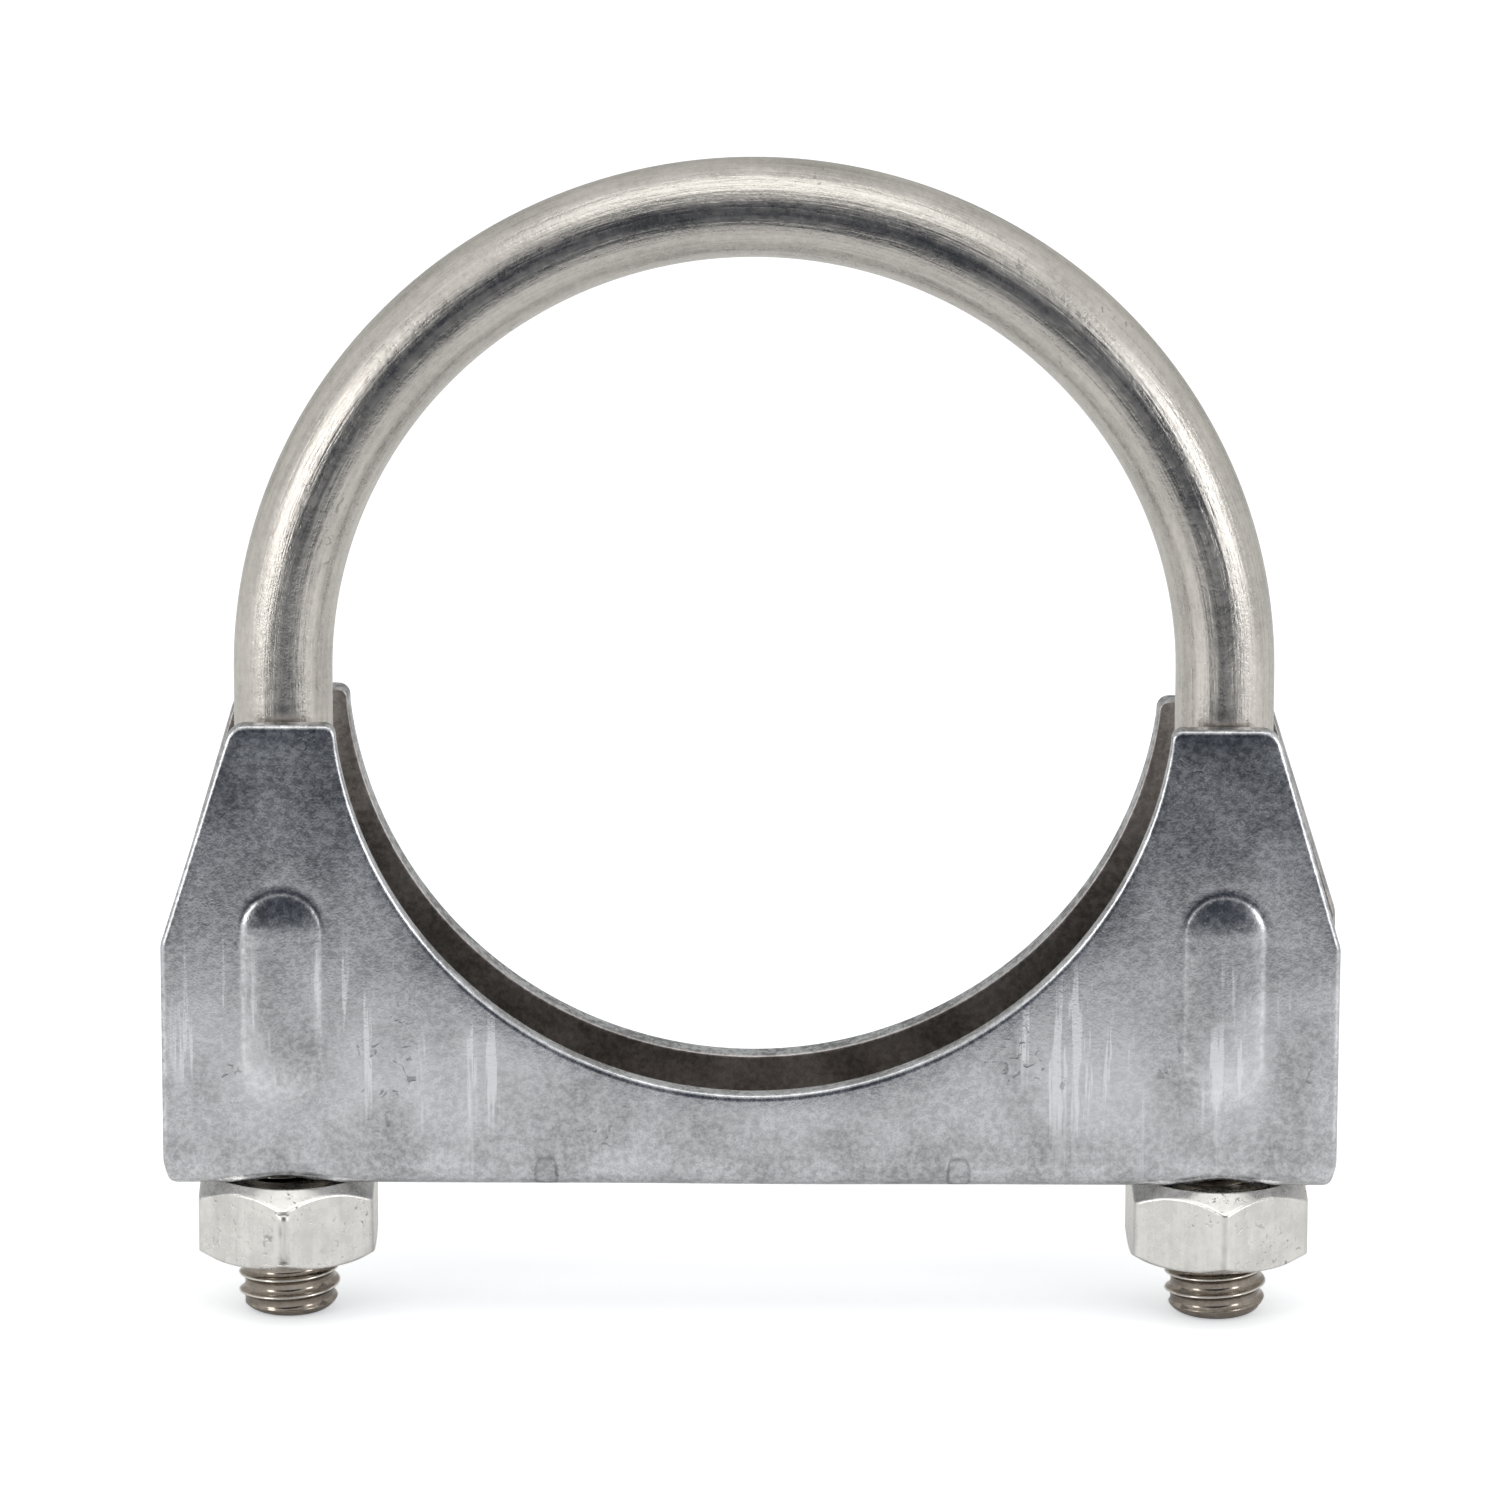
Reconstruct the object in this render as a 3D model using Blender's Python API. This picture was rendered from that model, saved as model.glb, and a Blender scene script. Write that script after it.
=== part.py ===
"""Exhaust pipe U-bolt clamp for an 80 mm pipe: a round bent rod with two 10 mm threaded legs,
a folded sheet saddle that slides on the legs, and two hex nuts that draw the saddle up.

Metres, +Z up. The legs stand on z = 0, one at each end of the X axis, and the pipe runs along Y.
"""

import math

import bmesh
import bpy

# Bent rod
ROD_RADIUS = 0.00475
LEG_X = 0.04525
BOW_HEIGHT = 0.0640
BOW_STEPS = 40
ROUND_SIDES = 16

# Right-hand thread, 10 mm across its crests
PITCH = 0.00175
CREST_RADIUS = 0.00495
ROOT_RADIUS = 0.00395
THREAD_PROFILE = ((0.0, CREST_RADIUS), (0.125, CREST_RADIUS), (0.5625, ROOT_RADIUS))
THREAD_TOP = 0.0360
THREAD_RUNOUT = 0.0020
LEG_END_RADIUS = 0.0035
THREAD_CLEARANCE = 0.0003

# Saddle: one sheet pressing folded into a channel that is open towards the pipe
NEIGHBOUR_GAP = 0.0003
SHEET = 0.0025
SADDLE_WIDTH = 0.0151
WEB_BOTTOM = 0.01445
PLATE_TOP = 0.0601
PLATE_HALF_LENGTH = 0.0568
SHOULDER_HEIGHT = 0.0385
TIP_HALF_LENGTH = 0.0501
CORNER_CUT = 0.0007
CORNER_CUT_HEIGHT = 0.0025
TIP_OUTER_FILLET = 0.0020
TIP_INNER_FILLET = 0.0012
SEAT_RADIUS = 0.0402
SEAT_STEPS = 36
BEND_OUTSIDE = 0.0035
BEND_INSIDE = BEND_OUTSIDE - SHEET
BEND_STEPS = 6
LEG_HOLE_RADIUS = 0.00625
HOLE_SIDES = 32
OVERSHOOT = 0.003

# Oval pads pressed out of both plates, in front of and behind each leg
PAD_HALF_WIDTH = 0.0039
PAD_HALF_HEIGHT = 0.0104
PAD_HEIGHT = 0.0335
PAD_RISE = 0.0006
PAD_RINGS = ((0.0, 0.0), (0.0006, 0.55), (0.0016, 0.85), (0.0028, 1.0))
PAD_END_STEPS = 10

# Stiffening darts pressed into the two bends
DART_X = 0.0199
DART_RADIUS = 0.0012
DART_REACH = 0.0040
DART_WALL = 0.0021
DART_SIDES = 16

# Hex nuts, 17 mm across flats
NUT_HEIGHT = 0.0080
NUT_ACROSS_FLATS = 0.0170
NUT_CORNER_TURN = math.radians(1.0)
NUT_FACE_SHARE = 0.95
NUT_CHAMFER = math.radians(30.0)
COUNTERSINK_RADIUS = 0.0054
NUT_BOTTOM = WEB_BOTTOM - NEIGHBOUR_GAP - NUT_HEIGHT

WELD = 1e-7
SMOOTH_ANGLE = math.radians(32.0)


def clear_scene():
    for obj in list(bpy.data.objects):
        bpy.data.objects.remove(obj, do_unlink=True)


def metal(name, colour, roughness):
    """A bare metal surface."""
    material = bpy.data.materials.new(name)
    material.use_nodes = True
    shader = material.node_tree.nodes["Principled BSDF"]
    shader.inputs["Base Color"].default_value = (*colour, 1.0)
    shader.inputs["Roughness"].default_value = roughness
    shader.inputs["Metallic"].default_value = 1.0
    material.diffuse_color = (*colour, 1.0)
    return material


def satin_rod():
    return metal("satin_rod", (0.62, 0.60, 0.57), 0.32)


def pressed_sheet():
    return metal("pressed_sheet", (0.50, 0.51, 0.53), 0.42)


def bright_nut():
    return metal("bright_nut", (0.74, 0.72, 0.69), 0.22)


def place(name, mesh_builder, location=(0.0, 0.0, 0.0), material=None):
    """Makes an object from what mesh_builder puts in a bmesh, with its faces pointing out."""
    bm = bmesh.new()
    mesh_builder(bm)
    bmesh.ops.remove_doubles(bm, verts=bm.verts, dist=WELD)
    rims = [edge for edge in bm.edges if edge.is_boundary]
    bmesh.ops.holes_fill(bm, edges=rims, sides=0)
    bmesh.ops.recalc_face_normals(bm, faces=bm.faces)
    mesh = bpy.data.meshes.new(name)
    bm.to_mesh(mesh)
    bm.free()
    obj = bpy.data.objects.new(name, mesh)
    obj.location = location
    bpy.context.scene.collection.objects.link(obj)
    if material:
        mesh.materials.append(material)
        mesh.shade_smooth()
        mesh.set_sharp_from_angle(angle=SMOOTH_ANGLE)
    return obj


def combine(target, operation, tool):
    """Adds a Boolean of the tool to the target, and hides the tool."""
    modifier = target.modifiers.new(tool.name, "BOOLEAN")
    modifier.operation = operation
    modifier.solver = "EXACT"
    modifier.object = tool
    tool.hide_render = True
    tool.display_type = "WIRE"
    tool.parent = target
    tool.matrix_parent_inverse = target.matrix_basis.inverted()


def add_grid(bm, rows):
    """Joins rows of points into four-sided faces; points that coincide are welded later."""
    made = [[bm.verts.new(point) for point in row] for row in rows]
    for low, high in zip(made, made[1:]):
        for i in range(len(low) - 1):
            bm.faces.new((low[i], low[i + 1], high[i + 1], high[i]))


def add_prism(bm, outline, direction, start, end):
    """Extrudes a closed outline of (across, up) points along X or Y."""
    def point(across, up, along):
        return (along, across, up) if direction == "X" else (across, along, up)

    closed = outline + outline[:1]
    add_grid(bm, [[point(a, b, along) for a, b in closed] for along in (start, end)])


def arc(centre, radius, first, last, steps):
    """Points on an arc, both ends included; angles in radians."""
    points = []
    for i in range(steps + 1):
        angle = first + (last - first) * i / steps
        points.append((centre[0] + radius * math.cos(angle), centre[1] + radius * math.sin(angle)))
    return points


def fillet(before, corner, after, radius, steps=6):
    """Points of a round that replaces a corner of an outline."""
    to_before = math.atan2(before[1] - corner[1], before[0] - corner[0])
    to_after = math.atan2(after[1] - corner[1], after[0] - corner[0])
    half = ((to_after - to_before + math.pi) % math.tau - math.pi) / 2
    middle = to_before + half
    reach = radius / math.sin(abs(half))
    centre = (corner[0] + reach * math.cos(middle), corner[1] + reach * math.sin(middle))
    swing = math.copysign(math.pi / 2 - abs(half), half)
    opposite = middle + math.pi
    return arc(centre, radius, opposite + swing, opposite - swing, steps)


# Threads

def thread_rows(low, high, grow, limit, drop=0.0):
    """Rows of a right-hand helical grid round Z that begins and ends in a level ring.

    grow is added to the thread's radii, limit(height, radius) shapes the ends, and drop lowers it.
    """
    rows = []
    for turn in range(math.floor(low / PITCH) - 1, math.ceil(high / PITCH) + 1):
        for share, radius in THREAD_PROFILE:
            row = []
            for side in range(ROUND_SIDES + 1):
                height = (turn + share + side / ROUND_SIDES) * PITCH
                height = min(max(height, low), high)
                reach = limit(height, radius + grow)
                angle = math.tau * side / ROUND_SIDES
                row.append((reach * math.cos(angle), reach * math.sin(angle), height - drop))
            rows.append(row)
    return rows


def leg_radius(height, radius):
    """The thread's radius on a leg: chamfered at the end, and running out into the plain rod."""
    runout = min(1.0, (THREAD_TOP - height) / THREAD_RUNOUT)
    return min(ROD_RADIUS + (radius - ROD_RADIUS) * runout, LEG_END_RADIUS + height)


def bore_radius(height, radius):
    """The thread's radius in a nut: countersunk at both faces."""
    inset = min(height - NUT_BOTTOM, NUT_BOTTOM + NUT_HEIGHT - height)
    return max(radius, COUNTERSINK_RADIUS - inset)


# Bent rod

def bow_row(angle, height_below=0.0):
    """A ring round the rod at an angle of its bow, or below the bow's end on a leg."""
    row = []
    for side in range(ROUND_SIDES + 1):
        around = math.tau * side / ROUND_SIDES
        out = LEG_X + ROD_RADIUS * math.cos(around)
        x = out * math.cos(angle)
        z = BOW_HEIGHT + out * math.sin(angle) - height_below
        row.append((x, ROD_RADIUS * math.sin(around), z))
    return row


def add_bent_rod(bm):
    for side in (-1, 1):
        rows = thread_rows(0.0, THREAD_TOP, 0.0, leg_radius)
        add_grid(bm, [[(side * LEG_X + x, y, z) for x, y, z in row] for row in rows])
    plain_leg = BOW_HEIGHT - THREAD_TOP
    rows = [bow_row(math.pi, plain_leg)]
    for step in range(BOW_STEPS + 1):
        rows.append(bow_row(math.pi - math.pi * step / BOW_STEPS))
    rows.append(bow_row(0.0, plain_leg))
    add_grid(bm, rows)


def make_u_bolt():
    return place("u_bolt", add_bent_rod, material=satin_rod())


# Saddle

def half_outline():
    """The right half of the saddle seen along Y, from the bottom up and round to the seat."""
    base = (PLATE_HALF_LENGTH - CORNER_CUT, WEB_BOTTOM)
    side = (PLATE_HALF_LENGTH, WEB_BOTTOM + CORNER_CUT_HEIGHT)
    shoulder = (PLATE_HALF_LENGTH, SHOULDER_HEIGHT)
    tip = (TIP_HALF_LENGTH, PLATE_TOP)
    seat_angle = math.asin((PLATE_TOP - BOW_HEIGHT) / SEAT_RADIUS)
    seat_end = (SEAT_RADIUS * math.cos(seat_angle), PLATE_TOP)
    round_off = TIP_INNER_FILLET / SEAT_RADIUS
    near_seat_end = (
        SEAT_RADIUS * math.cos(seat_angle - round_off),
        BOW_HEIGHT + SEAT_RADIUS * math.sin(seat_angle - round_off),
    )
    points = [base, side, shoulder]
    points += fillet(shoulder, tip, seat_end, TIP_OUTER_FILLET)
    points += fillet(tip, seat_end, near_seat_end, TIP_INNER_FILLET)
    bottom = -math.pi / 2
    first = seat_angle - 2 * round_off
    points += arc((0.0, BOW_HEIGHT), SEAT_RADIUS, first, bottom, SEAT_STEPS // 2)[:-1]
    return points


def add_side_view(bm):
    half = half_outline()
    outline = half + [(0.0, BOW_HEIGHT - SEAT_RADIUS)] + [(-x, z) for x, z in reversed(half)]
    reach = SADDLE_WIDTH / 2 + OVERSHOOT
    add_prism(bm, outline, "Y", -reach, reach)


def channel_outline(half_width, bottom, radius, top):
    """A trough seen along X: straight sides and two rounded lower corners."""
    right = arc((half_width - radius, bottom + radius), radius, -math.pi / 2, 0.0, BEND_STEPS)
    half = right + [(half_width, top)]
    return half + [(-y, z) for y, z in reversed(half)]


def add_block(bm):
    outline = channel_outline(SADDLE_WIDTH / 2, WEB_BOTTOM, BEND_OUTSIDE, PLATE_TOP + OVERSHOOT)
    reach = PLATE_HALF_LENGTH + OVERSHOOT
    add_prism(bm, outline, "X", -reach, reach)


def add_trough(bm):
    half_width = SADDLE_WIDTH / 2 - SHEET
    top = PLATE_TOP + 2 * OVERSHOOT
    outline = channel_outline(half_width, WEB_BOTTOM + SHEET, BEND_INSIDE, top)
    reach = PLATE_HALF_LENGTH + 2 * OVERSHOOT
    add_prism(bm, outline, "X", -reach, reach)


def add_leg_holes(bm):
    for side in (-1, 1):
        ring = arc((side * LEG_X, 0.0), LEG_HOLE_RADIUS, 0.0, math.tau, HOLE_SIDES)
        heights = (WEB_BOTTOM - OVERSHOOT, WEB_BOTTOM + SHEET + OVERSHOOT)
        add_grid(bm, [[(x, y, z) for x, y in ring] for z in heights])


def pad_ring(x, inset):
    """An oval of two half circles joined by straight sides, drawn in from its rim by inset."""
    radius = PAD_HALF_WIDTH - inset
    straight = PAD_HALF_HEIGHT - PAD_HALF_WIDTH
    ring = arc((x, PAD_HEIGHT + straight), radius, 0.0, math.pi, PAD_END_STEPS)
    ring += arc((x, PAD_HEIGHT - straight), radius, math.pi, math.tau, PAD_END_STEPS)
    return ring + ring[:1]


def add_pads(bm, face, root):
    """Four soft oval domes that rise from a distance off the middle plane, with a root below it."""
    for leg in (-LEG_X, LEG_X):
        for side in (-1, 1):
            rows = [[(x, side * (face - root), z) for x, z in pad_ring(leg, 0.0)]]
            for inset, share in PAD_RINGS:
                out = side * (face + share * PAD_RISE)
                rows.append([(x, out, z) for x, z in pad_ring(leg, inset)])
            add_grid(bm, rows)


def add_raised_pads(bm):
    add_pads(bm, SADDLE_WIDTH / 2, SHEET / 2)


def add_pad_hollows(bm):
    add_pads(bm, SADDLE_WIDTH / 2 - SHEET, SHEET / 2)


def add_dart_rods(bm, radius, depth, half_length):
    """Four round bars laid across the bends at 45 degrees, their inmost lines at a depth."""
    to_axis = (depth - radius) / math.sqrt(2)
    half = half_length / math.sqrt(2)
    for x in (-DART_X, DART_X):
        for side in (-1, 1):
            rows = []
            for end in (-half, half):
                y = side * (SADDLE_WIDTH / 2 - to_axis + end)
                z = WEB_BOTTOM + to_axis + end
                ring = arc((0.0, 0.0), radius, 0.0, math.tau, DART_SIDES)
                slope = 1 / math.sqrt(2)
                rows.append([(x + a, y - side * b * slope, z + b * slope) for a, b in ring])
            add_grid(bm, rows)


def add_dart_grooves(bm):
    depth = DART_REACH / math.sqrt(2)
    add_dart_rods(bm, DART_RADIUS, depth, DART_REACH + OVERSHOOT)


def add_dart_ridges(bm):
    depth = DART_REACH / math.sqrt(2) + DART_WALL
    add_dart_rods(bm, DART_RADIUS + SHEET / 2, depth, DART_REACH + SHEET)


def make_saddle():
    origin = (0.0, 0.0, 0.0)
    saddle = place("saddle", add_block, origin, pressed_sheet())
    trough = place("saddle_trough", add_trough)
    combine(trough, "DIFFERENCE", place("dart_ridges", add_dart_ridges))
    combine(saddle, "INTERSECT", place("saddle_side_view", add_side_view))
    combine(saddle, "DIFFERENCE", trough)
    combine(saddle, "DIFFERENCE", place("leg_holes", add_leg_holes))
    combine(saddle, "UNION", place("raised_pads", add_raised_pads))
    combine(saddle, "DIFFERENCE", place("pad_hollows", add_pad_hollows))
    combine(saddle, "DIFFERENCE", place("dart_grooves", add_dart_grooves))
    return saddle


# Nuts

def add_hexagon(bm):
    radius = NUT_ACROSS_FLATS / math.sqrt(3)
    first = NUT_CORNER_TURN - math.pi / 2
    ring = arc((0.0, 0.0), radius, first, first + math.tau, 6)
    add_grid(bm, [[(x, y, z) for x, y in ring] for z in (0.0, NUT_HEIGHT)])


def add_corner_turning(bm):
    """A turned blank whose cones chamfer the hexagon's corners at both faces."""
    face = NUT_ACROSS_FLATS / 2 * NUT_FACE_SHARE
    wide = NUT_ACROSS_FLATS / math.sqrt(3) + OVERSHOOT
    beyond = OVERSHOOT / 10
    cone = (wide - face) * math.tan(NUT_CHAMFER)
    narrow = face - beyond / math.tan(NUT_CHAMFER)
    rows = []
    for radius, height in (
        (narrow, -beyond),
        (wide, cone),
        (wide, NUT_HEIGHT - cone),
        (narrow, NUT_HEIGHT + beyond),
    ):
        rows.append([(x, y, height) for x, y in arc((0.0, 0.0), radius, 0.0, math.tau, 36)])
    add_grid(bm, rows)


def add_threaded_core(bm):
    top = NUT_BOTTOM + NUT_HEIGHT
    rows = thread_rows(NUT_BOTTOM, top, THREAD_CLEARANCE, bore_radius, NUT_BOTTOM)
    below = [(x, y, -OVERSHOOT) for x, y, _ in rows[0]]
    above = [(x, y, NUT_HEIGHT + OVERSHOOT) for x, y, _ in rows[-1]]
    add_grid(bm, [below] + rows + [above])


def make_nut(name, side, material):
    centre = (side * LEG_X, 0.0, NUT_BOTTOM)
    nut = place(name, add_hexagon, centre, material)
    combine(nut, "INTERSECT", place(name + "_turning", add_corner_turning, centre))
    combine(nut, "DIFFERENCE", place(name + "_core", add_threaded_core, centre))
    return nut


def main():
    clear_scene()
    make_u_bolt()
    make_saddle()
    steel = bright_nut()
    make_nut("nut_left", -1, steel)
    make_nut("nut_right", 1, steel)


main()
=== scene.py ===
"""Looks of a U-bolt pipe clamp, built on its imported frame: a bent rod with two threaded legs,
a saddle pressed and folded from one sheet, and two hex nuts. Metres, +Z up."""

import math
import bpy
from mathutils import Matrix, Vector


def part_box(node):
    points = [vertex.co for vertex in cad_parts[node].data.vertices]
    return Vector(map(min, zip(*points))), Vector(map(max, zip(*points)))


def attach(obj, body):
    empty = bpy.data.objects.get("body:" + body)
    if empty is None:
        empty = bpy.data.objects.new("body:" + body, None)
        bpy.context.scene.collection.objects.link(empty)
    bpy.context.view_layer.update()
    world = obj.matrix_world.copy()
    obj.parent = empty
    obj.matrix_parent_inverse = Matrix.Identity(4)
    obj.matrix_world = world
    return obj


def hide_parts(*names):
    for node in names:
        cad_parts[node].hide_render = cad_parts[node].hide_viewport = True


bl_info = {
    "name": "Pipe Clamp",
    "version": (1, 0, 0),
    "blender": (4, 5, 0),
    "location": "View3D > Sidebar > Clamp",
    "description": "Builds a U-bolt pipe clamp with its threads, folded saddle and nuts",
    "category": "Object",
}

import bpy
import numpy as np
from bpy.props import FloatProperty, FloatVectorProperty, PointerProperty
from mathutils import Matrix, Vector, kdtree
from mathutils.geometry import delaunay_2d_cdt

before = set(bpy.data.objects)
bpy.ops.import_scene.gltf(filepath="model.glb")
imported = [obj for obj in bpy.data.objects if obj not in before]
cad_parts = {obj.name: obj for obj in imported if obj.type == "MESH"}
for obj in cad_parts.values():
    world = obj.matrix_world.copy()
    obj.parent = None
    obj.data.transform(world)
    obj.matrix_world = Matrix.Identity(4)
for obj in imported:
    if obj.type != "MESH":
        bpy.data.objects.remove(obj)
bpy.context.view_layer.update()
ROD_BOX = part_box("u_bolt")
SADDLE_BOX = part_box("saddle")
NUT_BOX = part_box("nut_right")

WELD = 1e-6
MM = 0.001

# The bolt's box ends at the thread's crests, so it gives the rod's radius and the legs' places
PITCH, CREST, ROOT = 1.75 * MM, 4.95 * MM, 4.34 * MM
ROD_RADIUS = ROD_BOX[1].y * 4.75 / 4.95
LEG_X = 45.25 * MM
BOW_HEIGHT, THREAD_TOP = 64.0 * MM, 36.0 * MM
END_RADIUS, END_ROUND = 3.0 * MM, 2.2 * MM


# Settings

def length(name, text, default):
    """A length in metres, shown in the scene's unit."""
    return FloatProperty(name=name, description=text, default=default, unit="LENGTH", precision=5)


def colour(name, text, default):
    return FloatVectorProperty(
        name=name, description=text, default=default, subtype="COLOR", min=0.0, max=1.0
    )


class ThreadSettings(bpy.types.PropertyGroup):
    pitch: length("Pitch", "Height that the thread climbs in one turn", PITCH)
    crest: length("Crest Radius", "Radius over the thread's crests", CREST)
    root: length("Root Radius", "Radius at the bottom of the thread", ROOT)
    clearance: length("Clearance", "Room between the leg's thread and the nut's", 0.22 * MM)
    left_start: FloatProperty(
        name="Left Start", description="Share of a turn that moves the left thread", default=0.464,
        min=0.0, max=1.0, subtype="FACTOR",
    )
    right_start: FloatProperty(
        name="Right Start", description="Share of a turn that moves the right thread", default=0.207,
        min=0.0, max=1.0, subtype="FACTOR",
    )


class RodSettings(bpy.types.PropertyGroup):
    radius: length("Rod Radius", "Radius of the plain rod", ROD_RADIUS)
    leg_x: length("Leg X", "From the middle to a leg's axis", ROD_BOX[1].x - CREST)
    bow_height: length("Bow Height", "Height of the bow's centre", BOW_HEIGHT)
    thread_top: length("Thread Top", "Height where the thread has run out", THREAD_TOP)
    end_radius: length("End Radius", "Radius of the flat at a leg's end", END_RADIUS)
    end_round: length("End Round", "Height of the rounded end of a leg", END_ROUND)
    tint: colour("Colour", "Colour of the drawn rod", (0.64, 0.61, 0.57))


class SaddleSettings(bpy.types.PropertyGroup):
    sheet: length("Sheet", "Thickness of the sheet", 2.5 * MM)
    bend: length("Bend radius", "Outside radius of the two folds", 2.8 * MM)
    hole_radius: length("Hole radius", "Radius of the leg holes in the flat blank", 6.25 * MM)
    pad_rise: length("Pad rise", "Height of the pressed oval pads", 0.7 * MM)
    roll: length("Edge roll", "Depth of the edge that the punch rounds", 0.34 * MM)
    tint: colour("Colour", "Colour of the pickled sheet", (0.60, 0.61, 0.635))


class NutSettings(bpy.types.PropertyGroup):
    across_flats: length("Across Flats", "Width of the hexagon between flats", 17.0 * MM)
    height: length("Height", "Height of the nut", NUT_BOX[1].z - NUT_BOX[0].z)
    bottom: length("Bottom", "Height of the nut's lower face", NUT_BOX[0].z)
    countersink: length("Countersink", "Radius of the countersink at both faces", 5.4 * MM)
    tint: colour("Colour", "Colour of the bright pressed nuts", (0.80, 0.785, 0.755))


class ClampSettings(bpy.types.PropertyGroup):
    thread: PointerProperty(type=ThreadSettings)
    rod: PointerProperty(type=RodSettings)
    saddle: PointerProperty(type=SaddleSettings)
    nut: PointerProperty(type=NutSettings)


# Node trees written as sums

def feed(tree, socket, value):
    """Links a term or a socket to an input, or sets the input to a plain value."""
    if isinstance(value, Term):
        value = value.socket
    if isinstance(value, bpy.types.NodeSocket):
        tree.links.new(value, socket)
    else:
        socket.default_value = value


def add_node(tree, kind, inputs=(), **settings):
    """A new node with its settings and its inputs by name or place."""
    node = tree.nodes.new(kind)
    for key, value in settings.items():
        setattr(node, key, value)
    for key, value in dict(inputs).items():
        feed(tree, node.inputs[key], value)
    return node


def calculate(tree, operation, *values):
    node = add_node(tree, "ShaderNodeMath", dict(enumerate(values)), operation=operation)
    return Term(tree, node.outputs[0])


class Term:
    """A number inside a node tree. Sums of terms make math nodes."""

    def __init__(self, tree, socket):
        self.tree = tree
        self.socket = socket

    def __add__(self, other):
        return calculate(self.tree, "ADD", self, other)

    def __sub__(self, other):
        return calculate(self.tree, "SUBTRACT", self, other)

    def __rsub__(self, other):
        return calculate(self.tree, "SUBTRACT", other, self)

    def __mul__(self, other):
        return calculate(self.tree, "MULTIPLY", self, other)

    def __truediv__(self, other):
        return calculate(self.tree, "DIVIDE", self, other)

    def apply(self, operation, *others):
        """Any other math node, with this term first."""
        return calculate(self.tree, operation, self, *others)

    def remap(self, low, high, to_low, to_high, kind="LINEAR"):
        """Maps low..high to to_low..to_high, held at both ends."""
        inputs = {0: self, 1: low, 2: high, 3: to_low, 4: to_high}
        node = add_node(self.tree, "ShaderNodeMapRange", inputs, interpolation_type=kind)
        return Term(self.tree, node.outputs[0])


def new_group(name, kind, inputs, outputs):
    """A node group with named sockets. Returns the tree, its inputs as terms by name, and its
    output node. Each input is (name, socket type, default)."""
    tree = bpy.data.node_groups.new(name, kind)
    for label, socket_type, default in inputs:
        socket = tree.interface.new_socket(label, in_out="INPUT", socket_type=socket_type)
        if default is not None:
            socket.default_value = default
    for label, socket_type in outputs:
        tree.interface.new_socket(label, in_out="OUTPUT", socket_type=socket_type)
    entry = tree.nodes.new("NodeGroupInput")
    terms = {label: Term(tree, entry.outputs[label]) for label, _, _ in inputs}
    return tree, terms, tree.nodes.new("NodeGroupOutput")


def use_group(tree, group, kind, inputs):
    return add_node(tree, kind, inputs, node_tree=group)


# Geometry Nodes: threads, bent rod and nuts

FLOAT, INT, VECTOR = "NodeSocketFloat", "NodeSocketInt", "NodeSocketVector"
GEOMETRY, MATERIAL = "NodeSocketGeometry", "NodeSocketMaterial"
THREAD_SIZES = [
    ("Pitch", FLOAT, PITCH), ("Crest Radius", FLOAT, CREST), ("Root Radius", FLOAT, ROOT),
]
THREAD_INPUTS = THREAD_SIZES + [("Start", FLOAT, 0.0)]
ROD_SIDES, BOW_ROWS = 96, 140
ROD_SIZES = [
    ("Leg X", FLOAT, LEG_X), ("Rod Radius", FLOAT, ROD_RADIUS), ("Thread Top", FLOAT, THREAD_TOP),
    ("End Radius", FLOAT, END_RADIUS), ("End Round", FLOAT, END_ROUND), ("Sides", INT, ROD_SIDES),
] + THREAD_SIZES
# Where a flank begins and ends, as shares of half a pitch, and how sharply its crest stands out
ROOT_SHARE, CREST_SHARE = 0.10, 0.96
CREST_POWER = 2.2
RUN_OUT = 2.4 * MM
THREAD_STEPS = 18
# Radius on which the coordinates that a material uses run round a leg
WRAP = 0.005


def thread_radius_group():
    """The radius of a right-hand thread at a height and a turn round its axis."""
    inputs = [("Height", FLOAT, 0.0), ("Turn", FLOAT, 0.0)] + THREAD_INPUTS
    tree, term, out = new_group("thread_radius", "GeometryNodeTree", inputs, [("Radius", FLOAT)])
    phase = (term["Height"] / term["Pitch"] - term["Turn"] + term["Start"]).apply("FRACT")
    from_root = (phase * 2.0 - 1.0).apply("ABSOLUTE")
    rise = from_root.remap(ROOT_SHARE, CREST_SHARE, 0.0, 1.0).apply("POWER", CREST_POWER)
    depth = term["Crest Radius"] - term["Root Radius"]
    feed(tree, out.inputs["Radius"], term["Root Radius"] + depth * rise)
    return tree


def grid(tree, rows, columns):
    """A grid with its row number, and its column as a share of a turn. The grid itself is a socket."""
    node = add_node(tree, "GeometryNodeMeshGrid", {
        "Size X": 1.0, "Size Y": 1.0, "Vertices X": rows, "Vertices Y": columns,
    })
    place = add_node(tree, "ShaderNodeSeparateXYZ", {0: add_node(
        tree, "GeometryNodeInputPosition").outputs[0]})
    row = ((Term(tree, place.outputs[0]) + 0.5) * (rows - 1)).apply("ROUND")
    turn = Term(tree, place.outputs[1]) + 0.5
    return node.outputs["Mesh"], row, turn


def circle(angle):
    """Cosine and sine of an angle."""
    return angle.apply("COSINE"), angle.apply("SINE")


def combine_xyz(tree, x, y, z):
    return add_node(tree, "ShaderNodeCombineXYZ", {0: x, 1: y, 2: z}).outputs[0]


def set_position(tree, mesh, x, y, z):
    where = combine_xyz(tree, x, y, z)
    node = add_node(tree, "GeometryNodeSetPosition", {"Geometry": mesh, "Position": where})
    return node.outputs[0]


def store_vector(tree, mesh, name, x, y, z):
    """Keeps a coordinate that runs along and round the piece, for its material."""
    node = add_node(
        tree, "GeometryNodeStoreNamedAttribute",
        {"Geometry": mesh, "Name": name, "Value": combine_xyz(tree, x, y, z)},
        data_type="FLOAT_VECTOR", domain="POINT",
    )
    return node.outputs[0]


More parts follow.
